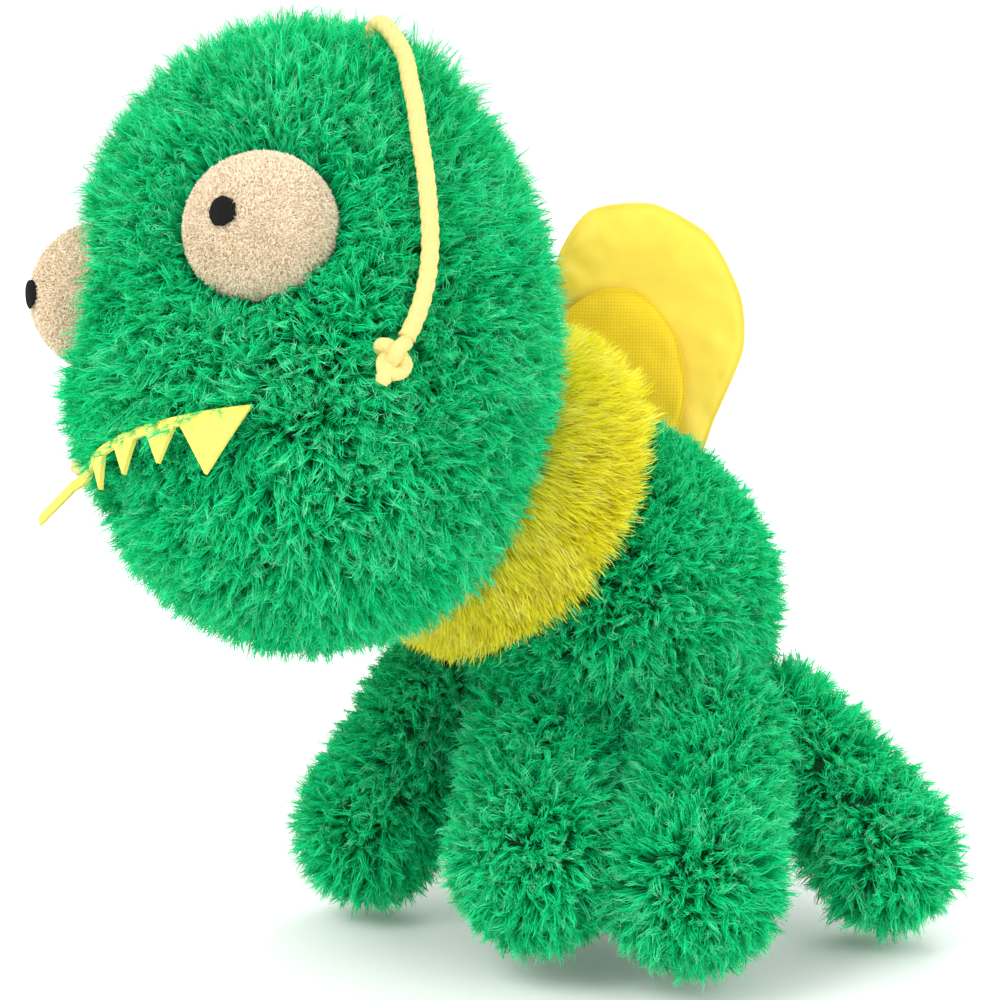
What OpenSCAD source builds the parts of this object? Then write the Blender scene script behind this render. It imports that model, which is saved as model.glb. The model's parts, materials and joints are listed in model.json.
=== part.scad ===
// Moving mouth hand puppet: a shaggy plush monster with a hinged jaw, a neck that turns and nods,
// swinging arms and legs, and two pairs of padded wings.
// The origin is the middle of the hand opening's outer edge. +Z is up and the body faces -Y.

/* [Head] */
// Half the head's width and depth
head_r = 66; // [60:1:76]
// Half the head's height
head_half_h = 86; // [78:1:96]
// Radius of an eyeball
eye_r = 21; // [16:0.5:24]
// Radius of an embroidered pupil
pupil_r = 3.8; // [3:0.2:6]

/* [Mouth] */
// Height of the mouth line below the middle of the head
mouth_drop = 42.5; // [34:0.5:46]
// Distance of the jaw's hinge in front of the middle of the head
hinge_forward = 20; // [10:1:30]
// Thickness of a mouth board
board_t = 2.2; // [1.5:0.1:4]
// Thickness of the felt teeth
felt_t = 1.5; // [1:0.1:3]

/* [Antennae] */
// Diameter of the antenna cord
cord_d = 5; // [3:0.5:7]

/* [Body] */
// Half the torso's width
torso_half_w = 52; // [45:1:60]
// Inner radius of the hand opening
hand_r = 29.5; // [25:0.5:34]
// Radius of the neck ball
neck_r = 38; // [36:1:44]
// Inner radius of the neck passage
wrist_r = 26; // [22:1:30]
// Radius of an arm near its paw
arm_r = 18; // [14:1:22]
// Radius of a leg near its paw
leg_r = 19; // [16:1:24]

/* [Wings] */
// Half the upper wing's height
wing_half_h = 46; // [36:1:50]
// Half the upper wing's width
wing_half_w = 27; // [20:1:32]

/* [Hidden] */
$fn = 64;

green = [0.13, 0.62, 0.38];
yellow = [0.96, 0.84, 0.25];
dark_yellow = [0.88, 0.68, 0.12];
pale_yellow = [0.97, 0.92, 0.62];
olive_yellow = [0.80, 0.77, 0.20];
cream = [0.86, 0.79, 0.67];
black = [0.03, 0.03, 0.03];
felt_yellow = [0.95, 0.90, 0.35];
lining_green = [0.10, 0.42, 0.26];

running_gap = 0.5;
seat_room = 3.6;
seat_shift = 3;
seat_gap = 0.1;

// the hand opening's outer edge, which every node is placed from
opening_at = [-5, 50, 56];
// the way the arm leaves the hand opening
arm_tilt = 38;
arm_swing = -10;
sleeve_len = 38;

torso_at = [-12, 10, 108];
torso_lean = -16;
torso_half_d = 50;
torso_half_h = 56;
chamber_r = 31;

head_at = [-94.6, -40, 192.6];
head_turn = [-18, -20.5, -36];
neck_at = [0, 72, -37];
neck_pitch = 70;

mouth_z = -mouth_drop;
hinge_y = -hinge_forward;
lip_r = head_r * sqrt(1 - pow(mouth_z / head_half_h, 2));
corner_x = sqrt(lip_r * lip_r - hinge_y * hinge_y);
mouth_gap = 0.3;
// how far the teeth stand out from the lip, and how far their strip starts above the mouth line
teeth_out = 3.9;
teeth_lift = 1.5;

eye_at = [34.5, -46, 11];
eye_axis = [0, 84, -53];
// how far the eye's middle lies below the head's surface, and the hollow of its back
eye_depth = 8;
eye_back_r = 112;
pupil_turn = [-86, 0, 21];

cord_sides = 10;
// the left antenna's middle line in the head's frame, from inside the crown to its knot
antenna_route = [[38, -8, 54], [38, -8, 72.5], [39.2, -8.4, 76.2], [42.2, -9.2, 78], [46, -10, 76.3],
                 [50.5, -10.5, 71], [55.5, -11, 63], [60, -14, 54], [64, -16, 45], [67, -18, 36],
                 [70, -19, 24], [72, -20, 12], [72, -20, 1], [71, -21, -9], [69, -23, -18],
                 [67, -25, -23.6]];
knot_at = [65, -28, -28.6];

// ---- frames ----

module placed() {
    translate(-opening_at) children();
}

module head_frame() {
    placed() translate(head_at) rotate(head_turn) children();
}

module neck_local() {
    translate(neck_at) rotate([neck_pitch, 0, 0]) children();
}

module torso_frame() {
    placed() translate(torso_at) rotate([0, torso_lean, 0]) children();
}

module sleeve_frame() {
    placed() translate(opening_at) rotate([arm_tilt, 0, arm_swing]) children();
}

module both_sides() {
    children();
    mirror([1, 0, 0]) children();
}

// ---- shared shapes ----

module ellipsoid(size) {
    scale([1, size[1] / size[0], size[2] / size[0]]) sphere(r = size[0]);
}

module limb(from, to, root_r, end_r) {
    along = to - from;
    reach = norm(along);
    tilt = acos(along[2] / reach);
    swing = atan2(along[1], along[0]);
    translate(from) rotate([0, tilt, swing]) {
        sphere(r = root_r);
        cylinder(h = reach, r1 = root_r, r2 = end_r);
        translate([0, 0, reach]) sphere(r = end_r);
    }
}

function unit(v) = v / norm(v);
function heading(path, i) =
    unit(path[min(i + 1, len(path) - 1)] - path[max(i - 1, 0)]);
function side_of(path, i) = unit(cross(heading(path, i), [0, 1, 0]));
function ring(path, i, r) =
    [for (k = [0 : cord_sides - 1])
        path[i] + r * (cos(360 * k / cord_sides) * side_of(path, i)
                     + sin(360 * k / cord_sides) * cross(heading(path, i), side_of(path, i)))];

module tube(path, r) {
    n = len(path);
    points = [for (i = [0 : n - 1]) each ring(path, i, r)];
    walls = [for (i = [0 : n - 2]) for (k = [0 : cord_sides - 1])
        let (a = i * cord_sides + k, b = i * cord_sides + (k + 1) % cord_sides)
        each [[a, a + cord_sides, b + cord_sides], [a, b + cord_sides, b]]];
    near_end = [for (k = [0 : cord_sides - 1]) k];
    far_end = [for (k = [cord_sides - 1 : -1 : 0]) (n - 1) * cord_sides + k];
    polyhedron(points = points, faces = concat(walls, [near_end, far_end]), convexity = 6);
}

// ---- head ----

module head_shape() {
    ellipsoid([head_r, head_r, head_half_h]);
}

// the reach of the jaw's back edge from the hinge, at distance x from the middle
function jaw_reach(x) =
    head_half_h * sqrt(max(0, 1 - (x * x + hinge_y * hinge_y) / (head_r * head_r))) - mouth_drop;

module jaw_sweep(gap) {
    profile = concat([[0, -corner_x - gap]],
                     [for (i = [-14 : 14]) [max(0.5, jaw_reach(corner_x * i / 14.5)) + gap,
                                            corner_x * i / 14.5]],
                     [[0, corner_x + gap]]);
    translate([0, hinge_y, mouth_z]) rotate([0, 90, 0]) rotate_extrude($fn = 96) polygon(profile);
}

module front_block(top_z, back_y) {
    translate([-100, back_y - 120, top_z - 100]) cube([200, 120, 100]);
}

module hand_cavity() {
    translate([-33, -44, mouth_z + board_t]) cube([66, 80, 33]);
}

module neck_ball(r) {
    neck_local() sphere(r = r, $fn = 96);
}

module head_upper() {
    color(green) head_frame() difference() {
        head_shape();
        front_block(mouth_z + board_t, hinge_y + 4);
        difference() {
            jaw_sweep(running_gap);
            translate([-100, -100, mouth_z + board_t]) cube([200, 200, 200]);
        }
        hand_cavity();
        neck_ball(neck_r + running_gap);
        both_sides() translate(antenna_route[0]) cylinder(h = 30, r = cord_d / 2 + seat_gap);
    }
}

module jaw_lower() {
    color(green) head_frame() difference() {
        intersection() {
            head_shape();
            front_block(mouth_z - board_t - mouth_gap, hinge_y);
        }
        thumb_hollow();
    }
}

module thumb_hollow() {
    translate([-15, hinge_y - 18, mouth_z - board_t - mouth_gap - 18]) cube([30, 40, 19]);
}

module mouth_plate(z) {
    translate([0, 0, z]) intersection() {
        cylinder(h = board_t, r = lip_r - 6);
        translate([-100, hinge_y - 100, -1]) cube([200, 100 - 2.5, 20]);
    }
}

module mouth_board_upper() {
    color(lining_green) head_frame() mouth_plate(mouth_z);
}

module mouth_board_lower() {
    color(lining_green) head_frame() mouth_plate(mouth_z - mouth_gap - board_t);
}

module finger_pocket() {
    color(lining_green) head_frame() difference() {
        translate([-32.5, -43.5, mouth_z + board_t]) cube([65, 41, 28]);
        translate([-31, -42, mouth_z + board_t + 1.5]) cube([62, 60, 25]);
    }
}

module thumb_pocket() {
    color(lining_green) head_frame() difference() {
        translate([-15, hinge_y - 18, mouth_z - mouth_gap - board_t - 18]) cube([30, 17, 18]);
        translate([-13.5, hinge_y - 16.5, mouth_z - mouth_gap - board_t - 16.5]) cube([27, 60, 15]);
    }
}

// a ball with a hollow back that lies against the head
module eye() {
    translate(eye_at) rotate(eye_axis) difference() {
        sphere(r = eye_r, $fn = 96);
        translate([0, 0, eye_depth - eye_back_r]) sphere(r = eye_back_r, $fn = 200);
    }
}

module eye_left() {
    color(cream) head_frame() eye();
}

module eye_right() {
    color(cream) head_frame() mirror([1, 0, 0]) eye();
}

module pupil() {
    difference() {
        translate(eye_at) rotate([pupil_turn[0], 0, pupil_turn[2]])
            translate([0, 0, -eye_r - 0.9]) cylinder(h = 4, r = pupil_r);
        translate(eye_at) sphere(r = eye_r, $fn = 200);
    }
}

module pupil_left() {
    color(black) head_frame() pupil();
}

module pupil_right() {
    color(black) head_frame() mirror([1, 0, 0]) pupil();
}

// a triangle with its base on the strip, cut through the felt from outside
module tooth(turn, half_base, drop, lean) {
    rotate([0, 0, turn]) rotate([90, 0, 0]) linear_extrude(height = 100)
        polygon([[-half_base, 0.5], [half_base, 0.5], [lean, -drop]]);
}

module teeth_strip() {
    color(felt_yellow) head_frame() {
        intersection() {
            difference() {
                cylinder(h = 300, r = lip_r + teeth_out, center = true);
                cylinder(h = 310, r = lip_r + teeth_out - felt_t, center = true);
            }
            translate([0, 0, mouth_z + teeth_lift]) union() {
                intersection() {
                    translate([-60, -90, 0]) cube([120, 60, 3]);
                    rotate([0, 0, -90]) rotate([0, 0, -34]) rotate_extrude(angle = 68)
                        square([100, 3]);
                }
                for (turn = [-22, -5.5, 9]) tooth(turn, 5, 8.5, 0);
                tooth(24, 10, 14.5, -3);
            }
        }
        corner_fang();
    }
}

// the right corner's fang stands out from the cheek
module corner_fang() {
    translate([-37.1, -53.3, mouth_z + teeth_lift]) rotate([0, 0, 18]) rotate([90, 0, 0])
        linear_extrude(height = felt_t, center = true)
            polygon([[-4, 2.5], [6.5, 2.5], [5.5, 0.8], [-13, -9.5]]);
}

module antenna() {
    tube(antenna_route, cord_d / 2);
}

module antenna_left() {
    color(pale_yellow) head_frame() antenna();
}

module antenna_right() {
    color(pale_yellow) head_frame() mirror([1, 0, 0]) antenna();
}

module antenna_knot() {
    translate(knot_at) rotate([20, 70, 0]) rotate_extrude($fn = 32) translate([3.9, 0])
        circle(r = 2.7, $fn = 24);
}

module antenna_knot_left() {
    color(pale_yellow) head_frame() antenna_knot();
}

module antenna_knot_right() {
    color(pale_yellow) head_frame() mirror([1, 0, 0]) antenna_knot();
}

// ---- neck ----

module neck_tube() {
    color(lining_green) head_frame() neck_local() difference() {
        intersection() {
            sphere(r = neck_r, $fn = 96);
            cube([120, 120, 50], center = true);
        }
        cylinder(h = 120, r = wrist_r, center = true);
    }
}

module collar() {
    color(olive_yellow) head_frame() neck_local() rotate_extrude($fn = 96) difference() {
        polygon([[neck_r - 4, -12], [neck_r + 7, -15], [neck_r + 15, -10], [neck_r + 17, 0],
                 [neck_r + 14, 8], [neck_r + 6, 11], [neck_r - 4, 10]]);
        circle(r = neck_r);
    }
}

// the seat turned about the neck's axis that the neck ball and the collar sit in
module neck_seat() {
    head_frame() neck_local() rotate_extrude($fn = 96) intersection() {
        union() {
            circle(r = neck_r + running_gap);
            polygon([[neck_r - 8, -12.5], [neck_r + 7, -15.5], [neck_r + 30, -15.5],
                     [neck_r + 30, 30], [neck_r - 8, 30]]);
            translate([0, -50]) square([wrist_r, 60]);
        }
        translate([0, -100]) square([200, 200]);
    }
}

// ---- body ----

module torso() {
    color(green) difference() {
        torso_frame() ellipsoid([torso_half_w, torso_half_d, torso_half_h]);
        torso_frame() sphere(r = chamber_r);
        neck_seat();
        sleeve_frame() translate([0, 0, -10]) cylinder(h = 60, r = hand_r + 1.5);
        limb_seat(shoulder_left, paw_left, shoulder_r);
        limb_seat(shoulder_right, paw_right, shoulder_r);
        limb_seat(hip_left, foot_left, hip_r);
        limb_seat(hip_right, foot_right, hip_r);
    }
}

module hand_sleeve() {
    color(lining_green) sleeve_frame() difference() {
        union() {
            cylinder(h = sleeve_len, r = hand_r + 1.5);
            cylinder(h = 6, r = hand_r + 4);
        }
        translate([0, 0, -1]) cylinder(h = sleeve_len + 2, r = hand_r);
    }
}

shoulder_left = [41, 0, 74];
shoulder_right = [-56, 8, 85];
hip_left = [20, -20, 74];
hip_right = [-30, -24, 71];
paw_left = [71.5, -14, 33];
paw_right = [-83.5, -6, 31];
foot_left = [16, -60, 33];
foot_right = [-23, -50, 34];
shoulder_r = 11;
hip_r = 17;

// a round seat, a little down the limb so that it swings clear, whose own axis points out of the torso
module limb_seat(root, end, r) {
    at = root + seat_shift * unit(end - root);
    out = at - torso_at;
    placed() translate(at) rotate([0, acos(out[2] / norm(out)), atan2(out[1], out[0])])
        sphere(r = r + seat_room);
}

module arm_left() {
    color(green) placed() limb(shoulder_left, paw_left, shoulder_r, arm_r);
}

module arm_right() {
    color(green) placed() limb(shoulder_right, paw_right, shoulder_r, arm_r);
}

module leg_left() {
    color(green) placed() limb(hip_left, foot_left, hip_r, leg_r);
}

module leg_right() {
    color(green) placed() limb(hip_right, foot_right, hip_r, leg_r);
}

// ---- wings ----

wing_upper_root = [24, 45.5, 16];
wing_lower_root = [21, 39.5, 29];

module wing_upper() {
    translate(wing_upper_root) rotate([-12, 5, 0]) translate([0, 0, wing_half_h])
        ellipsoid([wing_half_w, 4.5, wing_half_h]);
}

module wing_lower() {
    translate(wing_lower_root) rotate([-12, 0, 0]) translate([0, 0, 29])
        ellipsoid([18, 3.5, 29]);
}

module wing_upper_left() {
    color(yellow) torso_frame() wing_upper();
}

module wing_upper_right() {
    color(yellow) torso_frame() mirror([1, 0, 0]) wing_upper();
}

module wing_lower_left() {
    color(dark_yellow) torso_frame() wing_lower();
}

module wing_lower_right() {
    color(dark_yellow) torso_frame() mirror([1, 0, 0]) wing_lower();
}

head_upper();
jaw_lower();
eye_left();
eye_right();
pupil_left();
pupil_right();
mouth_board_upper();
mouth_board_lower();
finger_pocket();
thumb_pocket();
teeth_strip();
antenna_left();
antenna_right();
antenna_knot_left();
antenna_knot_right();
neck_tube();
collar();
torso();
hand_sleeve();
arm_left();
arm_right();
leg_left();
leg_right();
wing_upper_left();
wing_upper_right();
wing_lower_left();
wing_lower_right();
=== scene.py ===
import itertools
import json
import math

import bpy
import numpy as np
from mathutils import Euler, Matrix, Vector


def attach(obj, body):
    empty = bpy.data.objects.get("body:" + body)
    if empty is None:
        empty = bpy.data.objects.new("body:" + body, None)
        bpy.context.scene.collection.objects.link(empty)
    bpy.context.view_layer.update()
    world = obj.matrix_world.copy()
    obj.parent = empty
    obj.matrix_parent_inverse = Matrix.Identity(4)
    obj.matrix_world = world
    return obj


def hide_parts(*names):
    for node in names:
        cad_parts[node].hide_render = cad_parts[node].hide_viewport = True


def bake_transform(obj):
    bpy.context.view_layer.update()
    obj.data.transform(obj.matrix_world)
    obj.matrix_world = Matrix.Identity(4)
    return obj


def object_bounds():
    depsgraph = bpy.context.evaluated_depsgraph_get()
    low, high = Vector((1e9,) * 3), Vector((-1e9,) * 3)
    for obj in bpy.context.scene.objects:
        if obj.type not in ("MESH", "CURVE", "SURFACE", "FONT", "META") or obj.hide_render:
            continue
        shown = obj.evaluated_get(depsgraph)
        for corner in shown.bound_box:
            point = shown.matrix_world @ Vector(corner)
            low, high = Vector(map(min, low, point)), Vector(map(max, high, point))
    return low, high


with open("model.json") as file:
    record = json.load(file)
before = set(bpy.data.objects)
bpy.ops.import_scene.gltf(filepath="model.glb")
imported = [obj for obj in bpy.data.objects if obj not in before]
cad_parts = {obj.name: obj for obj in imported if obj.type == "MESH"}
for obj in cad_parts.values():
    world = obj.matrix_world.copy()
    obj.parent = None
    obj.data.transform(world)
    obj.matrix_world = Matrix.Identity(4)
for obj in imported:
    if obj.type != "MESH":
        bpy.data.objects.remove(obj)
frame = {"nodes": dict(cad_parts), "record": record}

CAD_BOX = [list(corner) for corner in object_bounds()]

# The frame's own numbers, in millimetres, as in the part's source.
MM = 0.001
OPENING_AT = (-5, 50, 56)
HEAD_AT = (-94.6, -40, 192.6)
HEAD_TURN = (-18, -20.5, -36)
NECK_AT = (0, 72, -37)
NECK_PITCH = 70
TORSO_AT = (-12, 10, 108)
TORSO_LEAN = -16
MOUTH_Z = -42.5
STRIP_LIFT = 1.5
EYE_AT = (34.5, -46, 11)
EYE_R = 21
GAZE_TURN = (3.8, 0, 20.7)
CORD_D = 5
NECK_R = 38
WING_UPPER_ROOT = (24, 45.5, 16)
WING_LOWER_ROOT = (21, 39.5, 29)
ANTENNA_ROUTE = [(38, -8, 54), (38, -8, 72.5), (39.2, -8.4, 76.2), (42.2, -9.2, 78), (46, -10, 76.3),
                 (50.5, -10.5, 71), (55.5, -11, 63), (60, -14, 54), (64, -16, 45), (67, -18, 36),
                 (70, -19, 24), (72, -20, 12), (72, -20, 1), (71, -21, -9), (69, -23, -18),
                 (67, -25, -23.6)]
KNOT_AT = (65, -28, -28.6)
KNOT_TAIL = [(65, -28.5, -30.5), (64, -30, -33.5), (62.5, -30.5, -36)]

# The plush surface under the fur, in millimetres.
SKIN_HEAD = (60, 60, 80)
CHIN_BULGE = 2.5
SKIN_TORSO = (41, 44, 47)

# The full coat's share of strands to grow, and the most of them in one mesh.
DENSITY = 1.0
MAX_STRANDS = 38000


def placing(at, turn=(0, 0, 0)):
    """The 4x4 matrix that puts millimetres of a local frame into its parent's millimetres."""
    euler = Euler([math.radians(angle) for angle in turn], "XYZ")
    return np.array(Matrix.Translation(Vector(at)) @ euler.to_matrix().to_4x4())


ROW = placing([-value for value in OPENING_AT])
HEAD = ROW @ placing(HEAD_AT, HEAD_TURN)
NECK = HEAD @ placing(NECK_AT, (NECK_PITCH, 0, 0))
TORSO = ROW @ placing(TORSO_AT, (0, TORSO_LEAN, 0))
MIRROR = np.diag([-1.0, 1.0, 1.0, 1.0])
GAZE = placing((0, 0, 0), GAZE_TURN)[:3, :3] @ np.array([0, -1, 0])


def to_row(points, matrix=ROW):
    """Points of a local frame in millimetres, as metres of the row frame."""
    points = np.asarray(points, float)
    return (points @ matrix[:3, :3].T + matrix[:3, 3]) * MM


def to_local(points, matrix):
    """Metres of the row frame, as millimetres of a local frame."""
    return (np.asarray(points) / MM - matrix[:3, 3]) @ np.linalg.inv(matrix[:3, :3]).T


def unit(vectors):
    return vectors / np.maximum(np.linalg.norm(vectors, axis=-1, keepdims=True), 1e-9)


# ---- camera ----

CAMERA_AIM = (-0.0419, -0.0267, 0.0762)
CAMERA_TURN = 6
CAMERA_RISE = 12
CAMERA_DISTANCE = 0.95
CAMERA_LENS = 112
CAMERA_SENSOR = 36


def make_camera():
    """A camera a little to the puppet's left and above it, at the distance of a studio picture."""
    aim = Vector(CAMERA_AIM)
    turn = math.radians(CAMERA_TURN)
    rise = math.radians(CAMERA_RISE)
    back = Vector((math.sin(turn) * math.cos(rise), -math.cos(turn) * math.cos(rise), math.sin(rise)))
    data = bpy.data.cameras.new("camera")
    data.lens = CAMERA_LENS
    data.sensor_width = CAMERA_SENSOR
    camera = bpy.data.objects.new("camera", data)
    camera.location = aim + back * CAMERA_DISTANCE
    camera.rotation_euler = back.to_track_quat("Z", "Y").to_euler()
    bpy.context.scene.collection.objects.link(camera)
    bpy.context.scene.camera = camera


make_camera()


# ---- materials ----

def new_material(name, roughness, sheen=0.0, specular=0.3):
    material = bpy.data.materials.new(name)
    material.use_nodes = True
    shader = material.node_tree.nodes["Principled BSDF"]
    shader.inputs["Roughness"].default_value = roughness
    shader.inputs["Sheen Weight"].default_value = sheen
    shader.inputs["Specular IOR Level"].default_value = specular
    return material, material.node_tree.nodes, material.node_tree.links, shader


def ramp(nodes, stops):
    node = nodes.new("ShaderNodeValToRGB")
    elements = node.color_ramp.elements
    while len(elements) < len(stops):
        elements.new(0.5)
    for element, (place, colour) in zip(elements, stops):
        element.position = place
        element.color = (*colour, 1)
    return node


def multiply(nodes, links, first, second):
    node = nodes.new("ShaderNodeMix")
    node.data_type = "RGBA"
    node.blend_type = "MULTIPLY"
    node.inputs["Factor"].default_value = 1
    links.new(first, node.inputs["A"])
    links.new(second, node.inputs["B"])
    return node.outputs["Result"]


def fur_material(name, deep, pale, roughness=0.75, sheen=0.0):
    """Colour runs from root to tip along V, darker at the root: painted shade among the blades. U says how
    much a blade takes of the second ramp, whose tips are paler; on the green fur these pale tips are a
    painted highlight.
    """
    material, nodes, links, shader = new_material(name, roughness, sheen, 0.1)
    place = nodes.new("ShaderNodeUVMap")
    place.uv_map = "OFBake"
    split = nodes.new("ShaderNodeSeparateXYZ")
    links.new(place.outputs["UV"], split.inputs["Vector"])
    mix = nodes.new("ShaderNodeMix")
    mix.data_type = "RGBA"
    for socket, stops in (("A", deep), ("B", pale)):
        along = ramp(nodes, stops)
        links.new(split.outputs["Y"], along.inputs["Fac"])
        links.new(along.outputs["Color"], mix.inputs[socket])
    links.new(split.outputs["X"], mix.inputs["Factor"])
    links.new(mix.outputs["Result"], shader.inputs["Base Color"])
    return material


def woven_material(name, colour, thread, contrast=0.75, roughness=0.7, sheen=0.2, bump=0.35):
    """A plain weave of the given thread spacing in metres, with a soft colour drift over it."""
    material, nodes, links, shader = new_material(name, roughness, sheen)
    place = nodes.new("ShaderNodeTexCoord")
    waves = []
    for axis in ("X", "Z"):
        wave = nodes.new("ShaderNodeTexWave")
        wave.bands_direction = axis
        wave.inputs["Scale"].default_value = 0.314 / thread
        wave.inputs["Distortion"].default_value = 1.2
        wave.inputs["Detail Scale"].default_value = 2
        links.new(place.outputs["Object"], wave.inputs["Vector"])
        waves.append(wave.outputs["Fac"])
    weave = nodes.new("ShaderNodeMath")
    weave.operation = "MULTIPLY"
    links.new(waves[0], weave.inputs[0])
    links.new(waves[1], weave.inputs[1])
    drift = nodes.new("ShaderNodeTexNoise")
    drift.inputs["Scale"].default_value = 60
    drift.inputs["Detail"].default_value = 4
    links.new(place.outputs["Object"], drift.inputs["Vector"])
    dark = [value * contrast for value in colour]
    threads = ramp(nodes, [(0.0, dark), (0.7, colour)])
    links.new(weave.outputs["Value"], threads.inputs["Fac"])
    cloud = ramp(nodes, [(0.3, (0.86, 0.86, 0.86)), (0.7, (1, 1, 1))])
    links.new(drift.outputs["Fac"], cloud.inputs["Fac"])
    links.new(multiply(nodes, links, threads.outputs["Color"], cloud.outputs["Color"]),
              shader.inputs["Base Color"])
    relief = nodes.new("ShaderNodeBump")
    relief.inputs["Strength"].default_value = bump
    relief.inputs["Distance"].default_value = thread * 0.3
    links.new(weave.outputs["Value"], relief.inputs["Height"])
    links.new(relief.outputs["Normal"], shader.inputs["Normal"])
    return material


def felt_material(name, colour, sheen=0.1):
    """Matted fibres: fine noise in colour and relief."""
    material, nodes, links, shader = new_material(name, 0.85, sheen, 0.2)
    place = nodes.new("ShaderNodeTexCoord")
    fibres = nodes.new("ShaderNodeTexNoise")
    fibres.inputs["Scale"].default_value = 1600
    fibres.inputs["Detail"].default_value = 5
    fibres.inputs["Distortion"].default_value = 1.5
    links.new(place.outputs["Object"], fibres.inputs["Vector"])
    dark = [value * 0.82 for value in colour]
    tone = ramp(nodes, [(0.35, dark), (0.65, colour)])
    links.new(fibres.outputs["Fac"], tone.inputs["Fac"])
    links.new(tone.outputs["Color"], shader.inputs["Base Color"])
    relief = nodes.new("ShaderNodeBump")
    relief.inputs["Strength"].default_value = 0.3
    relief.inputs["Distance"].default_value = 0.0003
    links.new(fibres.outputs["Fac"], relief.inputs["Height"])
    links.new(relief.outputs["Normal"], shader.inputs["Normal"])
    return material


# Green fur: the roots darker than the tips, painted shade between the tufts; the second ramp's pale tips are
# a painted highlight of light through the fibres.
GREEN_FUR = fur_material(
    "green_fur",
    [(0.0, (0.0, 0.40, 0.14)), (0.4, (0.0, 0.57, 0.20)), (0.8, (0.0, 0.72, 0.26)), (1.0, (0.0, 0.79, 0.30))],
    [(0.0, (0.0, 0.40, 0.14)), (0.5, (0.01, 0.65, 0.25)), (0.8, (0.10, 0.81, 0.40)),
     (1.0, (0.40, 0.94, 0.60))])
# Eye plush: darker at the root than at the tips, painted shade under the nap; some tips paler.
EYE_PLUSH = fur_material(
    "eye_plush",
    [(0.0, (0.84, 0.68, 0.48)), (0.4, (0.93, 0.79, 0.59)), (1.0, (0.95, 0.82, 0.63))],
    [(0.0, (0.84, 0.68, 0.48)), (0.4, (0.95, 0.83, 0.65)), (1.0, (0.97, 0.88, 0.72))], 0.8, 0.1)
# Collar pile: darker at the root than at the tips, painted shade among the blades; some tips paler.
COLLAR_FUR = fur_material(
    "collar_fur",
    [(0.0, (0.76, 0.69, 0.004)), (0.5, (0.94, 0.86, 0.006)), (1.0, (0.98, 0.93, 0.05))],
    [(0.0, (0.78, 0.71, 0.01)), (0.5, (0.95, 0.89, 0.03)), (1.0, (0.98, 0.96, 0.42))])
BACKING_GREEN = woven_material("backing_green", (0.004, 0.14, 0.05), 0.0009)
LINING_GREEN = woven_material("lining_green", (0.008, 0.12, 0.05), 0.0008)
WING_YELLOW = woven_material("wing_yellow", (0.96, 0.71, 0.07), 0.0005, 0.92, 0.42, 0.0, 0.15)
WING_MESH = woven_material("wing_mesh", (0.98, 0.66, 0.01), 0.0010, 0.88, 0.6, 0.0, 0.3)
FELT_YELLOW = felt_material("felt_yellow", (0.90, 0.79, 0.15))
CORD_YELLOW = felt_material("cord_yellow", (0.84, 0.67, 0.25), 0.0)
THREAD_BLACK = felt_material("thread_black", (0.008, 0.008, 0.008), 0.0)


# ---- meshes ----

def build(name, points, faces, material, smooth=True):
    """A mesh object from points in metres and faces given as arrays with equal numbers of corners."""
    corners = np.concatenate([np.asarray(face, np.int32).ravel() for face in faces])
    sizes = np.concatenate([np.full(len(face), np.shape(face)[1], np.int32) for face in faces])
    mesh = bpy.data.meshes.new(name)
    mesh.vertices.add(len(points))
    mesh.vertices.foreach_set("co", np.asarray(points, np.float32).ravel())
    mesh.loops.add(len(corners))
    mesh.loops.foreach_set("vertex_index", corners)
    mesh.polygons.add(len(sizes))
    mesh.polygons.foreach_set("loop_start", np.concatenate([[0], np.cumsum(sizes)[:-1]]).astype(np.int32))
    mesh.update(calc_edges=True)
    mesh.polygons.foreach_set("use_smooth", np.full(len(sizes), smooth))
    mesh.materials.append(material)
    thing = bpy.data.objects.new(name, mesh)
    bpy.context.scene.collection.objects.link(thing)
    return thing


def even_uv(thing, tone, height):
    """Gives a whole piece one place on a fur material, as cloth showing between the blades; a place low on V
    gives it the darker root colour, painted shade under the blades.
    """
    layer = thing.data.uv_layers.new(name="OFBake")
    layer.data.foreach_set("uv", np.tile([tone, height], len(thing.data.loops)).astype(np.float32))


def grid_faces(rows, columns, closed=False):
    """Quads between neighbouring points of a grid whose rows are rings or lines of points."""
    across = np.arange(columns if closed else columns - 1)
    down = np.arange(rows - 1)[:, None]
    following = (across + 1) % columns
    corners = [down * columns + across, down * columns + following,
               (down + 1) * columns + following, (down + 1) * columns + across]
    return np.stack([corner.ravel() for corner in corners], axis=1)


def noise(points, size, seed, channels=3):
    """Smooth random values from -1 to 1 that change over lengths of about size."""
    lattice = np.random.default_rng(seed).uniform(-1, 1, (16, 16, 16, channels))
    place = np.asarray(points) / size
    base = np.floor(place).astype(int)
    part = place - base
    part = part * part * (3 - 2 * part)
    total = np.zeros((len(place), channels))
    for corner in itertools.product((0, 1), repeat=3):
        weight = np.prod(np.where(np.array(corner) == 1, part, 1 - part), axis=1)
        cell = (base + corner) % 16
        total += weight[:, None] * lattice[cell[:, 0], cell[:, 1], cell[:, 2]]
    return total


def ball_points(sizes, low=-90, high=90, rows=48, columns=96):
    """Rings of points on an ellipsoid between two latitudes in degrees."""
    lat = np.radians(np.linspace(low, high, rows))[:, None]
    lon = np.radians(np.arange(columns) * 360 / columns)
    unit_points = np.stack([np.cos(lat) * np.cos(lon), np.cos(lat) * np.sin(lon),
                            np.sin(lat) + 0 * lon], axis=-1)
    return unit_points.reshape(-1, 3) * np.array(sizes)


def lumpy(points, centre, amount, size, seed):
    """Pushes points in or out from the centre, as stuffing does."""
    away = unit(points - centre)
    return points + away * noise(points, size, seed, 1) * amount


# ---- fur ----

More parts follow.
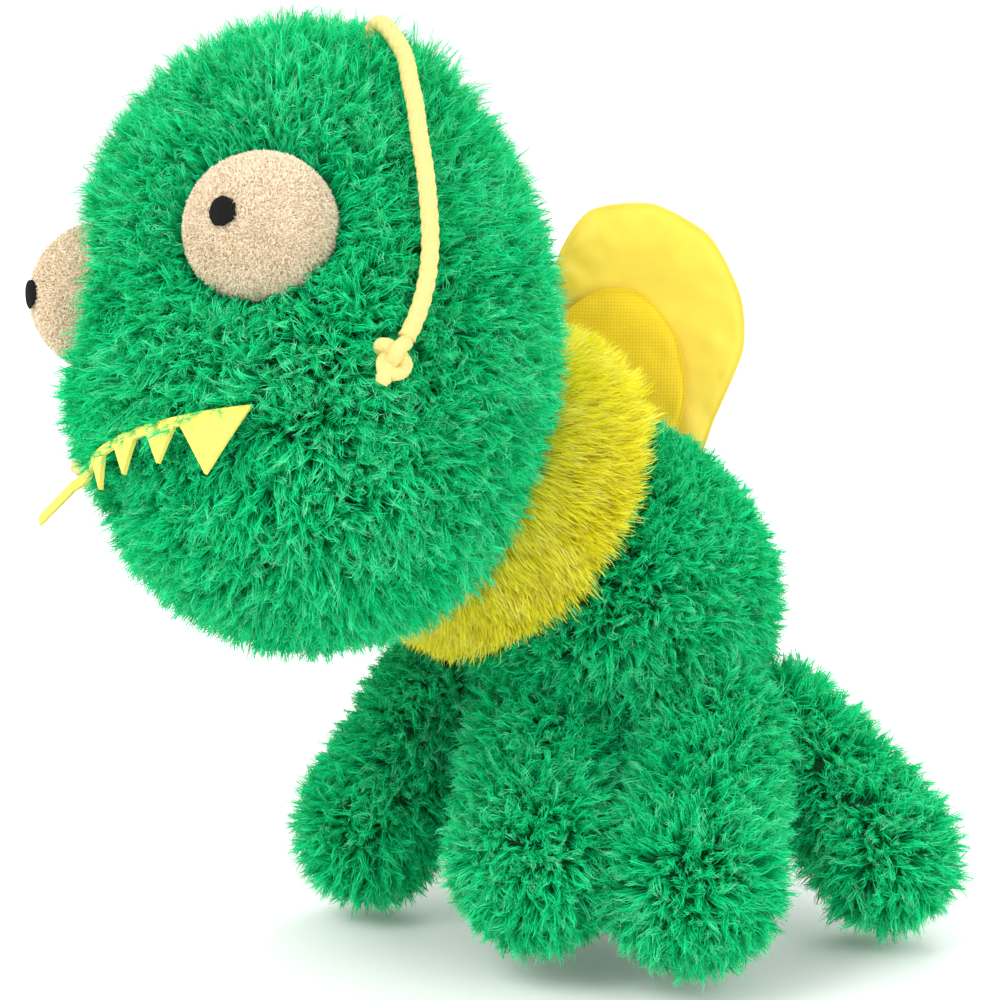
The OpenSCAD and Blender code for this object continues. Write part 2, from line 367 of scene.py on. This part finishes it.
def scatter(points, faces, count, rng):
    """Random places on a surface of quads, with their normals."""
    tris = np.concatenate([faces[:, [0, 1, 2]], faces[:, [0, 2, 3]]])
    a, b, c = (points[tris[:, k]] for k in range(3))
    cross = np.cross(b - a, c - a)
    area = np.linalg.norm(cross, axis=1) / 2
    normals = np.zeros_like(points)
    for k in range(3):
        np.add.at(normals, tris[:, k], cross)
    normals = unit(normals)
    which = rng.choice(len(tris), count, p=area / area.sum())
    u, v = rng.random((2, count))
    flip = u + v > 1
    u[flip], v[flip] = 1 - u[flip], 1 - v[flip]
    w = (1 - u - v)[:, None]
    u, v = u[:, None], v[:, None]
    place = a[which] * w + b[which] * u + c[which] * v
    normal = (normals[tris[which, 0]] * w + normals[tris[which, 1]] * u + normals[tris[which, 2]] * v)
    return place, unit(normal)


def surface_area(points, faces):
    a, b, c, d = (points[faces[:, k]] for k in range(4))
    return (np.linalg.norm(np.cross(b - a, c - a), axis=1).sum()
            + np.linalg.norm(np.cross(c - a, d - a), axis=1).sum()) / 2


# Heights along a blade where its rings of points lie, and its width there as a share of the widest.
LEVELS = np.array([0.0, 0.38, 0.74, 1.0])
TAPER = np.array([0.85, 1.0, 0.6])


def strands(rng, root, normal, along, length, bundle, spread, gather, curl, crimp, width, tone):
    """Bundles of tapered blades. Each bundle stands on one root, leans along, waves, and draws together
    at its tip."""
    count = len(root)
    sway_axis = np.repeat(unit(rng.normal(0, 1, (count, 3))), bundle, axis=0)
    sway_phase = np.repeat(rng.uniform(0, 2 * math.pi, count), bundle)
    root, normal, along = (np.repeat(item, bundle, axis=0) for item in (root, normal, along))
    length = np.repeat(length, bundle) * rng.uniform(0.66, 1.12, count * bundle)
    offset = rng.normal(0, spread, (count * bundle, 3))
    offset -= normal * (offset * normal).sum(1)[:, None]
    wave_axis = unit(rng.normal(0, 1, (count * bundle, 3)))
    phase = rng.uniform(0, 2 * math.pi, count * bundle)
    tip_offset = offset * gather + rng.normal(0, spread * 0.2, offset.shape)
    lines = []
    for t in LEVELS:
        bent = normal * (t * (1 - t) * 0.9)
        line = root + offset * (1 - t) + tip_offset * t + (along * t + bent) * length[:, None]
        line = line + sway_axis * (np.sin(sway_phase + t * 4.5) * crimp * t)[:, None]
        lines.append(line + wave_axis * (np.sin(phase + t * 7.0) * curl * t)[:, None])
    lines = np.stack(lines, axis=1)
    across = unit(np.cross(lines[:, 3] - lines[:, 0], rng.normal(0, 1, (count * bundle, 3))))
    shade = np.clip(np.repeat(tone, bundle) + rng.normal(0, 0.09, count * bundle), 0.01, 0.99)
    half = width / 2 * rng.uniform(0.7, 1.3, count * bundle)
    return lines, across * half[:, None], shade


def strand_objects(name, lines, across, shade, material):
    """The blades as meshes with UVs: U is the blade's tone, which sets how much of the material's paler tips
    it takes, and V runs from root to tip, the root darkened as painted shade.
    """
    made = []
    for part, start in enumerate(range(0, len(lines), MAX_STRANDS)):
        line = lines[start:start + MAX_STRANDS]
        side = across[start:start + MAX_STRANDS]
        tone = shade[start:start + MAX_STRANDS]
        count = len(line)
        rows = [line[:, k] + sign * side * TAPER[k] for k in range(3) for sign in (-1, 1)]
        points = np.stack([*rows, line[:, 3]], axis=1).reshape(-1, 3)
        first = np.arange(count)[:, None] * 7
        quads = np.concatenate([first + [0, 1, 3, 2], first + [2, 3, 5, 4]])
        tips = first + [4, 5, 6]
        thing = build(f"{name}_{part + 1}", points * MM, [quads, tips], material)
        layer = thing.data.uv_layers.new(name="OFBake")
        low, middle, high = LEVELS[:3]
        heights = np.concatenate([np.tile([low, low, middle, middle], count),
                                  np.tile([middle, middle, high, high], count),
                                  np.tile([high, high, 0.99], count)])
        tones = np.concatenate([np.repeat(tone, 4), np.repeat(tone, 4), np.repeat(tone, 3)])
        uv = np.stack([tones, np.clip(heights, 0.01, 0.99)], axis=1)
        layer.data.foreach_set("uv", uv.astype(np.float32).ravel())
        made.append(thing)
    return made


def coat(name, skin, faces, seed, length=11.4, per_mm2=0.55, bundle=11, spread=0.75, gather=0.25,
         lean=0.5, curl=1.1, crimp=1.6, width=0.3, droop=0.25, pale=0.24, keep=None, shape=None,
         material=GREEN_FUR):
    """A furry coat on a skin in row-frame millimetres. keep says where it grows, and shape changes its
    length and direction there. pale is the share of pale-tipped bundles; on the green fur the pale tips are
    a painted highlight."""
    rng = np.random.default_rng(seed)
    count = int(surface_area(skin, faces) * per_mm2 * DENSITY)
    root, normal = scatter(skin, faces, count, rng)
    flow = noise(root, 22, seed + 1) * 0.5 + noise(root, 7, seed + 2) * 0.7
    flow += rng.normal(0, 0.75, root.shape) + np.array([0, 0, -droop])
    flow -= normal * (flow * normal).sum(1)[:, None]
    size = length * rng.uniform(0.7, 1.25, count)
    along = normal + flow * lean
    if shape is not None:
        size, along = shape(root, size, along)
    if keep is not None:
        chosen = keep(root)
        root, normal, along, size = root[chosen], normal[chosen], along[chosen], size[chosen]
    tone = 0.12 + noise(root, 9, seed + 3, 1)[:, 0] * 0.12
    # Bundles picked here take the material's paler tips: on the green fur, a painted highlight.
    chance = pale * (1 + 1.2 * noise(root, 19, seed + 4, 1)[:, 0])
    tone = np.where(rng.random(len(root)) < chance, rng.uniform(0.45, 0.95, len(root)), tone)
    lines, across, shade = strands(rng, root, normal, unit(along), size, bundle, spread, gather, curl,
                                   crimp, width, tone)
    return strand_objects(name, lines, across, shade, material)


# ---- cords ----

SMOOTHING_PASSES = 60


def smooth_path(points, step):
    """A Catmull-Rom curve through the points, sampled about every step and then evened out."""
    points = np.asarray(points, float)
    padded = np.concatenate([[2 * points[0] - points[1]], points, [2 * points[-1] - points[-2]]])
    out = []
    for k in range(len(points) - 1):
        p0, p1, p2, p3 = padded[k:k + 4]
        parts = max(2, int(round(np.linalg.norm(p2 - p1) / step)))
        t = (np.arange(parts) / parts)[:, None]
        out.append(0.5 * (2 * p1 + (p2 - p0) * t + (2 * p0 - 5 * p1 + 4 * p2 - p3) * t ** 2
                          + (3 * p1 - p0 - 3 * p2 + p3) * t ** 3))
    path = np.concatenate([*out, points[-1:]])
    for _ in range(SMOOTHING_PASSES):
        path[1:-1] = (path[:-2] + 2 * path[1:-1] + path[2:]) / 4
    return path


BRAID_SIDES = 20


def braid(path, radius, sides=BRAID_SIDES, taper=None):
    """Rings of a braided cord round a path: two sets of strands cross each other."""
    count = len(path)
    ahead = unit(np.gradient(path, axis=0))
    side = np.zeros_like(path)
    start = np.cross(ahead[0], [0.3, 1.0, 0.2])
    for k in range(count):
        start = start - ahead[k] * np.dot(start, ahead[k])
        start = start / np.linalg.norm(start)
        side[k] = start
    up = np.cross(ahead, side)
    run = np.concatenate([[0], np.cumsum(np.linalg.norm(np.diff(path, axis=0), axis=1))])[:, None]
    angle = np.arange(sides) * 2 * math.pi / sides
    turn = run / (radius * 0.5)
    relief = np.maximum(np.abs(np.sin(2 * angle + turn)), np.abs(np.sin(2 * angle - turn + 0.8))) ** 2
    r = radius * (0.80 + 0.20 * relief)
    if taper is not None:
        r = r * taper[:, None]
    return (path[:, None] + r[..., None] * (np.cos(angle)[:, None] * side[:, None]
                                            + np.sin(angle)[:, None] * up[:, None])).reshape(-1, 3)


def facing(faces, matrix):
    """Faces turned over where the matrix is a mirror image."""
    if np.linalg.det(matrix[:3, :3]) > 0:
        return faces
    return [face[:, ::-1] for face in faces]


def tube_faces(rings, sides):
    quads = grid_faces(rings, sides, closed=True)
    near = np.arange(sides)[::-1].reshape(1, -1)
    far = (np.arange(sides) + (rings - 1) * sides).reshape(1, -1)
    return [quads, near, far]


KNOT_SIZE = 1.55
KNOT_DEPTH = 1.35


def knot_mesh():
    """An overhand knot drawn tight, with the cord's cut tail below it."""
    t = np.linspace(0, 2 * math.pi, 96)
    loop = np.stack([np.sin(t) + 2 * np.sin(2 * t), KNOT_DEPTH * -np.sin(3 * t),
                     np.cos(t) - 2 * np.cos(2 * t)], axis=1) * KNOT_SIZE + np.array(KNOT_AT)
    radius = CORD_D / 2 * 0.84
    rings = braid(loop, radius)
    tail = smooth_path([KNOT_AT, *KNOT_TAIL], 0.4)
    taper = np.interp(np.arange(len(tail)) / len(tail), [0, 0.8, 1], [0.9, 1.0, 0.6])
    tail_rings = braid(tail, CORD_D / 2 * 0.9, taper=taper)
    faces = tube_faces(len(loop), BRAID_SIDES)
    more = [face + len(rings) for face in tube_faces(len(tail), BRAID_SIDES)]
    return np.concatenate([rings, tail_rings]), [*faces, *more]


def make_antenna(side, matrix):
    path = smooth_path(ANTENNA_ROUTE, 0.45)
    rings = braid(path, CORD_D / 2)
    cord_faces = facing(tube_faces(len(path), BRAID_SIDES), matrix)
    cord = build(f"antenna_cord_{side}", to_row(rings, matrix), cord_faces, CORD_YELLOW)
    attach(cord, "head")
    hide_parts(f"antenna_{side}")
    points, faces = knot_mesh()
    knot = build(f"antenna_knot_tied_{side}", to_row(points, matrix), facing(faces, matrix), CORD_YELLOW)
    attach(knot, "head")
    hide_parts(f"antenna_knot_{side}")


make_antenna("left", HEAD)
make_antenna("right", HEAD @ MIRROR)


# ---- head ----

def near_eye(local):
    """Distance from the nearer eye's middle, and the way from it, in the head's frame."""
    middle = np.where(local[:, :1] > 0, 1, -1) * np.array([EYE_AT[0], 0, 0]) + [0, *EYE_AT[1:]]
    away = local - middle
    return np.linalg.norm(away, axis=1), unit(away)


def groom_head(root, size, along):
    """Fur is short and turned away round the eyes, lies flat round the teeth, and is long at the roots of
    the cords."""
    local = to_local(root * MM, HEAD)
    distance, away = near_eye(local)
    away = away @ HEAD[:3, :3].T

    # Beside the eyes
    close = np.clip((EYE_R + 7 - distance) / 9, 0, 1)
    size = size * (1 - 0.45 * close)
    along = along + away * close[:, None] * 0.9

    # Round the teeth, between the mouth's corners
    turn = np.degrees(np.arctan2(local[:, 0], -local[:, 1]))
    mouth = (local[:, 1] < -20) & (turn < 38) & (turn > -44)
    rise = local[:, 2] - MOUTH_Z
    size = np.where(mouth & (rise > -13) & (rise < STRIP_LIFT + 4), size * 0.48, size)
    below = mouth & (rise > -16) & (rise < 0)
    along = np.where(below[:, None], along - HEAD[:3, 2] * 0.5, along)

    # At the roots of the cords, on top of the head
    cord = np.linalg.norm(np.abs(local[:, :2]) - np.abs(ANTENNA_ROUTE[0][:2]), axis=1)
    size = size * (1 + 0.4 * np.clip((9 - cord) / 4, 0, 1) * (local[:, 2] > 0))
    return size, along


def keep_head(root):
    local = to_local(root * MM, HEAD)
    distance, _ = near_eye(local)
    neck = np.linalg.norm(local - np.array(NECK_AT), axis=1)
    return (distance > EYE_R - 1.5) & (neck > NECK_R - 3)


def without(points, faces, centre, radius):
    """Faces whose middle is not within radius of the centre."""
    middle = points[faces].mean(axis=1)
    return faces[np.linalg.norm(middle - centre, axis=1) > radius]


def make_head():
    latitude = math.degrees(math.asin(MOUTH_Z / SKIN_HEAD[2]))
    neck_centre = HEAD[:3, :3] @ np.array(NECK_AT) + HEAD[:3, 3]
    centre = HEAD[:3, 3]
    parts = {"upper": (latitude, 90, 60, 101), "lower": (-90, latitude, 28, 105)}
    for part, (low, high, rows, seed) in parts.items():
        local = ball_points(SKIN_HEAD, low, high, rows)
        depth = np.clip((MOUTH_Z - local[:, 2:]) / (SKIN_HEAD[2] + MOUTH_Z), 0, 1)
        local = local + unit(local) * np.sin(depth * math.pi) * CHIN_BULGE
        points = lumpy(to_row(local, HEAD) / MM, centre, 1.2, 30, 11)
        faces = without(points, grid_faces(rows, 96, closed=True), neck_centre, NECK_R - 2)
        skin = build(f"head_cloth_{part}", points * MM, [faces], BACKING_GREEN)
        coats = coat(f"head_fur_{part}", points, faces, seed, keep=keep_head, shape=groom_head)
        for piece in [skin, *coats]:
            if part == "upper":
                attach(piece, "head")
            else:
                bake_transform(piece)
        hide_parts("head_upper" if part == "upper" else "jaw_lower")


def make_eye(side, matrix):
    rows, columns = 64, 96
    middle = to_row(EYE_AT, matrix) / MM
    local = ball_points((EYE_R - 0.9,) * 3, rows=rows, columns=columns)
    points = lumpy(local @ matrix[:3, :3].T + middle, middle, 0.25, 9, 21)
    faces, = facing([grid_faces(rows, columns, closed=True)], matrix)
    ball = build(f"eye_ball_{side}", points * MM, [faces], EYE_PLUSH)
    # The ball takes the darker root colour of the nap: painted shade under the blades.
    even_uv(ball, 0.3, 0.05)
    outward = unit(middle - HEAD[:3, 3])
    gaze = matrix[:3, :3] @ GAZE

    def seen(root):
        away = unit(root - middle)
        return (away @ outward > -0.15) & (away @ gaze < 0.987)

    nap = coat(f"eye_nap_{side}", points, faces, 31, length=1.15, per_mm2=8, bundle=3, spread=0.22,
               gather=0.6, lean=1.0, curl=0.1, crimp=0.1, width=0.24, droop=0.1, pale=0.4, keep=seen,
               material=EYE_PLUSH)
    for piece in [ball, *nap]:
        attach(piece, "head")
    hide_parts(f"eye_{side}")


PUPIL_R = 3.9
PUPIL_THREAD = 0.55


def make_pupil(side, matrix):
    """A round of satin stitch: threads laid side by side and domed over the eye."""
    radius, thread, sides = PUPIL_R, PUPIL_THREAD, 8
    gaze = placing(EYE_AT, GAZE_TURN)
    points, faces = [], []
    for offset in np.arange(-radius + thread / 2, radius, thread):
        half = math.sqrt(max(0.0, radius ** 2 - offset ** 2)) + 0.12 * math.sin(offset * 9)
        t = np.linspace(-1, 1, 15)
        z = t * half
        rise = 0.5 * (1 - np.abs(t) ** 5) + 1.1 * (1 - (offset / radius) ** 2)
        depth = np.sqrt((EYE_R - 0.4) ** 2 - offset ** 2 - z ** 2) + rise
        path = np.stack([np.full_like(z, offset), -depth, z], axis=1)
        rings = braid(path, thread * 0.62, sides)
        faces += [face + sum(len(item) for item in points) for face in tube_faces(len(path), sides)]
        points.append(rings)
    local = np.concatenate(points)
    local = local @ gaze[:3, :3].T + gaze[:3, 3]
    quads = np.concatenate([face for face in faces if face.shape[1] == 4])
    caps = np.concatenate([face for face in faces if face.shape[1] == sides])
    pupil = build(f"pupil_stitches_{side}", to_row(local, matrix), facing([quads, caps], matrix),
                  THREAD_BLACK)
    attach(pupil, "head")
    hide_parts(f"pupil_{side}")


make_head()
for eye_side, eye_matrix in (("left", HEAD), ("right", HEAD @ MIRROR)):
    make_eye(eye_side, eye_matrix)
    make_pupil(eye_side, eye_matrix)


# ---- teeth ----

STRIP_R = 61.5
STRIP_TURN = 34.5
STRIP_TOP = 2.4
# Each tooth: its middle as a turn in degrees, half its width, its drop and how far its tip leans.
TEETH = [(24, 10, 14.5, -3), (8.5, 5, 9, -2), (-5.5, 5, 8.5, -2), (-22, 5, 8.5, -1)]
FANG_REACH = 18
FANG_HEADING = 18
FELT_T = 1.3


def teeth_profile(run):
    """The strip's upper and lower edges at a distance along it from the mouth's left corner."""
    turn = STRIP_TURN - np.degrees(run / STRIP_R)
    top = np.full_like(run, STRIP_TOP)
    bottom = np.full_like(run, -0.2)
    for middle, half, drop, tip in TEETH:
        edge = np.degrees(half / STRIP_R)
        point = middle + np.degrees(tip / STRIP_R)
        side = np.where(turn > point, (middle + edge - turn) / (middle + edge - point),
                        (turn - middle + edge) / (point - middle + edge))
        bottom = np.minimum(bottom, np.where(side > 0, -drop * side, 0))
    first_turn, _, first_drop, first_lean = TEETH[0]
    first_tip = math.radians(STRIP_TURN - first_turn) * STRIP_R - first_lean
    bottom = np.where(run < first_tip, np.interp(run, [0, first_tip], [2.3, -first_drop]), bottom)
    arc = math.radians(2 * STRIP_TURN) * STRIP_R
    past = np.clip((run - arc) / FANG_REACH, 0, 1)
    top = np.where(run > arc, STRIP_TOP - 12 * past, top)
    bottom = np.where(run > arc, -0.6 - 11.6 * past, bottom)
    return top, bottom


def teeth_plan(run):
    """Where the strip runs in plan: round the lip, then straight off the right cheek."""
    arc = math.radians(2 * STRIP_TURN) * STRIP_R
    turn = math.radians(STRIP_TURN) - np.minimum(run, arc) / STRIP_R
    x = STRIP_R * np.sin(turn)
    y = -STRIP_R * np.cos(turn)
    past = np.maximum(run - arc, 0)
    heading = math.radians(FANG_HEADING)
    bend = np.minimum(past / 6, 1)
    x = x - past * math.cos(heading)
    y = y - past * (math.sin(heading) * bend - 0.3 * (1 - bend))
    return x, y


def make_teeth():
    arc = math.radians(2 * STRIP_TURN) * STRIP_R
    run = np.linspace(0, arc + FANG_REACH, 280)
    top, bottom = teeth_profile(run)
    x, y = teeth_plan(run)
    outward = unit(np.stack([np.gradient(y), -np.gradient(x)], axis=1))
    rows = 10
    share = np.linspace(0, 1, rows)[:, None]
    height = top + (bottom - top) * share
    puff = 1.2 * np.clip(-height / 12, 0, 1)
    sheets = []
    for depth in (0.5, -0.5):
        px = x + outward[:, 0] * (FELT_T * depth + puff)
        py = y + outward[:, 1] * (FELT_T * depth + puff)
        sheets.append(np.stack([px, py, height + MOUTH_Z + STRIP_LIFT], axis=-1).reshape(-1, 3))
    points = to_row(np.concatenate(sheets), HEAD)
    columns = len(run)
    front = grid_faces(rows, columns)
    back = front[:, ::-1] + rows * columns
    rim = np.concatenate([np.arange(columns), np.arange(1, rows) * columns + columns - 1,
                          (rows - 1) * columns + np.arange(columns - 2, -1, -1),
                          np.arange(rows - 2, 0, -1) * columns])
    following = np.roll(rim, -1)
    edge = np.stack([following, rim, rim + rows * columns, following + rows * columns], axis=1)
    teeth = build("felt_teeth", points, [front, back, edge], FELT_YELLOW, smooth=False)
    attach(teeth, "head")
    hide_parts("teeth_strip")


make_teeth()


# ---- neck and collar ----

def neck_band(low, high, radius):
    """A band of a ball round the neck, between two heights on its axis: its points and faces."""
    rows, columns = 8, 160
    z = np.linspace(low, high, rows)[:, None]
    lon = np.arange(columns) * 2 * math.pi / columns
    r = np.sqrt(radius ** 2 - z ** 2)
    local = np.stack([r * np.cos(lon), r * np.sin(lon), z + 0 * lon], axis=-1).reshape(-1, 3)
    return to_row(local, NECK) / MM, grid_faces(rows, columns, closed=True)


def make_collar():
    """Long straight pile on a band round the neck, combed out and back towards the body."""
    points, faces = neck_band(-7, 21, NECK_R + 1.5)
    band = build("collar_band", points * MM, [faces], COLLAR_FUR)
    # The band takes a colour low on the ramp, darker than the tips: painted shade under the pile.
    even_uv(band, 0.4, 0.2)
    axis = NECK[:3, 2]

    def comb(root, size, along):
        height = to_local(root * MM, NECK)[:, 2:3]
        low = np.clip((NECK[2, 3] - root[:, 2]) / 30, 0, 1)
        return size * (1 - 0.35 * low), along - axis * (0.15 + 0.02 * height)

    pile = coat("collar_pile", points, faces, 41, length=14.5, per_mm2=0.6, bundle=24, spread=1.9,
                gather=0.8, lean=0.14, curl=0.2, crimp=0.3, width=0.3, droop=0.2, pale=0.2, shape=comb,
                material=COLLAR_FUR)
    for piece in [band, *pile]:
        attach(piece, "neck")
    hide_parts("collar")


def make_neck_fur():
    """Short green fur on the neck between the collar and the body."""
    points, faces = neck_band(-27, -5, NECK_R + 0.6)
    band = build("neck_cloth", points * MM, [faces], BACKING_GREEN)
    fur = coat("neck_fur", points, faces, 45, length=7.5, droop=0.1)
    for piece in [band, *fur]:
        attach(piece, "neck")


make_collar()
make_neck_fur()


# ---- body ----

def capsule(start, end, root_r, end_r, rows=44, columns=48):
    """A tapered limb with round ends: rings along its axis, in row-frame millimetres."""
    axis = unit(end - start)
    reach = np.linalg.norm(end - start)
    side = unit(np.cross(axis, [0.3, 0.9, 0.1]))
    up = np.cross(axis, side)
    cap_rows = 12
    cap = np.radians(np.linspace(-90, 0, cap_rows))
    low = np.stack([root_r * np.sin(cap), root_r * np.cos(cap)], axis=1)
    t = np.linspace(0, 1, rows - 2 * cap_rows + 2)[1:-1]
    middle = np.stack([t * reach, root_r + (end_r - root_r) * t], axis=1)
    cap = np.radians(np.linspace(0, 90, cap_rows))
    high = np.stack([reach + end_r * np.sin(cap), end_r * np.cos(cap)], axis=1)
    profile = np.concatenate([low, middle, high])
    angle = np.arange(columns) * 2 * math.pi / columns
    ring = np.cos(angle)[:, None] * side + np.sin(angle)[:, None] * up
    points = start + profile[:, :1, None] * axis + profile[:, 1:, None] * ring
    return points.reshape(-1, 3), grid_faces(len(profile), columns, closed=True)


# Each limb: the middle of its root, the middle of its paw, and the two radii.
LIMBS = {
    "arm_left": ((40, 0, 72), (71, -14, 35.5), 11, 15.5),
    "arm_right": ((-56, 8, 85), (-83, -6, 36), 14, 16),
    "leg_left": ((20, -20, 74), (16, -60, 41.5), 15, 19),
    "leg_right": ((-30, -24, 71), (-27, -54, 44.5), 15, 19),
}


def make_limb(name, start, end, root_r, end_r, seed):
    start, end = (to_row(point) / MM for point in (start, end))
    points, faces = capsule(start, end, root_r, end_r)
    points = lumpy(points, (start + end) / 2, 1.0, 16, seed)
    skin = build(f"{name}_cloth", points * MM, [faces], BACKING_GREEN)
    coats = coat(f"{name}_fur", points, faces, seed, length=9.5, droop=0.35)
    for piece in [skin, *coats]:
        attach(piece, name)
    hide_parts(name)


def make_torso():
    rows, columns = 60, 96
    points = to_row(ball_points(SKIN_TORSO, rows=rows, columns=columns), TORSO) / MM
    points = lumpy(points, TORSO[:3, 3], 1.5, 26, 51)
    faces = grid_faces(rows, columns, closed=True)
    neck_centre = NECK[:3, 3]
    faces = without(points, faces, neck_centre, NECK_R)
    out = np.array(frame["record"]["mounts"][0]["axis"])
    radius = frame["record"]["mounts"][0]["dims"]["r_mm"] + 1.5

    def clear_of_sleeve(place):
        along = place @ out
        across = np.linalg.norm(place - along[:, None] * out, axis=1)
        return (across > radius) | (along < -70)

    faces = faces[clear_of_sleeve(points[faces].mean(axis=1))]
    skin = build("torso_cloth", points * MM, [faces], BACKING_GREEN)

    def keep(root):
        outside = np.linalg.norm(root - neck_centre, axis=1) > NECK_R + 4
        return outside & clear_of_sleeve(root)

    def groom(root, size, along):
        height = to_local(root * MM, TORSO)[:, 2]
        return size * (1 - 0.35 * np.clip(height / 30, 0, 1)), along

    coats = coat("torso_fur", points, faces, 52, length=10.5, droop=0.35, keep=keep, shape=groom)
    for piece in [skin, *coats]:
        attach(piece, "torso")
    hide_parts("torso")


make_torso()
for limb_seed, (limb_name, limb) in enumerate(LIMBS.items()):
    make_limb(limb_name, *limb, 60 + 10 * limb_seed)


# ---- wings ----

# The wings' outlines from the root up, in millimetres.
UPPER_OUTLINE = [(-22, 22), (-28, 50), (-27, 76), (-14, 91), (6, 90), (22, 77), (28.5, 57), (26.5, 40),
                 (14, 20), (7, 9), (-9, 3)]
LOWER_OUTLINE = [(-18, 12), (-22, 34), (-18, 50), (-5, 55), (7, 51), (14, 36), (13, 18), (6, 5), (-8, 1)]


# How far out from a wing's middle the seam lies, as a share of the way to its edge.
SEAM_AT = 0.955


def closed_curve(points, parts):
    """A smooth closed outline through the corners, a little flat between them."""
    points = np.asarray(points, float)
    out = []
    for k in range(len(points)):
        p0, p1, p2, p3 = (points[(k + j - 1) % len(points)] for j in range(4))
        t = (np.arange(parts) / parts)[:, None]
        m1, m2 = (p2 - p0) * 0.36, (p3 - p1) * 0.36
        out.append((2 * t ** 3 - 3 * t ** 2 + 1) * p1 + (t ** 3 - 2 * t ** 2 + t) * m1
                   + (3 * t ** 2 - 2 * t ** 3) * p2 + (t ** 3 - t ** 2) * m2)
    return np.concatenate(out)


def make_wing(name, matrix, outline, thick, pucker, material, body, node, seed):
    """Two panels sewn at the rim and lightly stuffed, puckered along the seam."""
    edge = closed_curve(outline, 24)
    middle = edge.mean(axis=0)
    rings = 40
    share = np.concatenate([np.linspace(0.02, 0.94, rings - 4), [SEAM_AT, 0.97, 0.985, 1.0]])
    flat = middle + (edge - middle) * share[:, None, None]
    columns = len(edge)
    sides = []
    for sign in (-1, 1):
        puff = np.sqrt(np.clip(1 - (share / SEAM_AT) ** 2.6, 0, 1))[:, None] * thick
        place = np.concatenate([flat, np.full((rings, columns, 1), sign * 7.0)], axis=2).reshape(-1, 3)
        crease = noise(place, 5.5, seed, 1).reshape(rings, columns)
        ripple = noise(place, 14, seed + 1, 1).reshape(rings, columns)
        near_rim = np.clip((share - 0.35) / 0.55, 0, 1)[:, None] * (share < 0.99)[:, None]
        depth = puff + (crease * pucker * near_rim + ripple * 0.7) * np.clip(puff / thick * 3, 0, 1)
        depth = np.maximum(depth, 0.35)
        sway = 1.6 * np.sin(flat[..., 0] / 17 + 0.6) + 1.2 * np.sin(flat[..., 1] / 21)
        local = np.stack([flat[..., 0], sway + sign * depth, flat[..., 1]], axis=-1)
        sides.append(local.reshape(-1, 3))
    quads = grid_faces(rings, columns, closed=True)
    caps = np.arange(columns).reshape(1, -1)
    count = rings * columns
    rim = (rings - 1) * columns + np.arange(columns)
    following = (rings - 1) * columns + (np.arange(columns) + 1) % columns
    band = np.stack([rim, following, following + count, rim + count], axis=1)
    faces = [quads, quads[:, ::-1] + count, band, caps[:, ::-1], caps + count]
    wing = build(name, to_row(np.concatenate(sides), matrix), facing(faces, matrix), material)
    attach(wing, body)
    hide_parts(node)


for wing_side, flip in (("left", np.eye(4)), ("right", MIRROR)):
    upper = TORSO @ flip @ placing(WING_UPPER_ROOT, (-12, 5, 0))
    lower = TORSO @ flip @ placing(WING_LOWER_ROOT, (-12, 0, 0))
    make_wing(f"wing_large_{wing_side}", upper, UPPER_OUTLINE, 4.2, 0.9, WING_YELLOW,
              f"wings_{wing_side}", f"wing_upper_{wing_side}", 81)
    make_wing(f"wing_small_{wing_side}", lower, LOWER_OUTLINE, 2.6, 0.6, WING_MESH,
              f"wings_{wing_side}", f"wing_lower_{wing_side}", 91)


# ---- carried-over parts ----

def dress(node, material):
    mesh = frame["nodes"][node].data
    mesh.materials.clear()
    mesh.materials.append(material)


for lining_node in ("neck_tube", "hand_sleeve", "finger_pocket", "thumb_pocket",
                    "mouth_board_upper", "mouth_board_lower"):
    dress(lining_node, LINING_GREEN)


# ---- studio ----

def make_floor():
    material, _, _, shader = new_material("floor_paint", 0.9)
    shader.inputs["Base Color"].default_value = (0.93, 0.93, 0.93, 1)
    fur_reach = 0.005
    height = CAD_BOX[0][2] - fur_reach
    mesh = bpy.data.meshes.new("floor")
    reach = 6
    mesh.from_pydata([(-reach, -reach, height), (reach, -reach, height), (reach, reach, height),
                      (-reach, reach, height)], [], [(0, 1, 2, 3)])
    mesh.materials.append(material)
    floor = bpy.data.objects.new("floor", mesh)
    bpy.context.scene.collection.objects.link(floor)


def make_light(name, place, size, power):
    data = bpy.data.lights.new(name, "AREA")
    data.size = size
    data.energy = power
    light = bpy.data.objects.new(name, data)
    light.location = place
    middle = Vector((-0.04, -0.03, 0.08))
    light.rotation_euler = (Vector(place) - middle).to_track_quat("Z", "Y").to_euler()
    bpy.context.scene.collection.objects.link(light)


def make_world():
    world = bpy.data.worlds.new("studio")
    world.use_nodes = True
    world.node_tree.nodes["Background"].inputs["Color"].default_value = (1, 1, 1, 1)
    world.node_tree.nodes["Background"].inputs["Strength"].default_value = 1.1
    bpy.context.scene.world = world
    bpy.context.scene.view_settings.view_transform = "Standard"


make_floor()
make_light("key", (-0.9, -1.1, 1.3), 0.8, 15)
make_light("fill", (1.2, -1.0, 0.7), 1.0, 8)
make_light("rim", (0.3, 1.2, 1.1), 0.8, 9)
make_world()
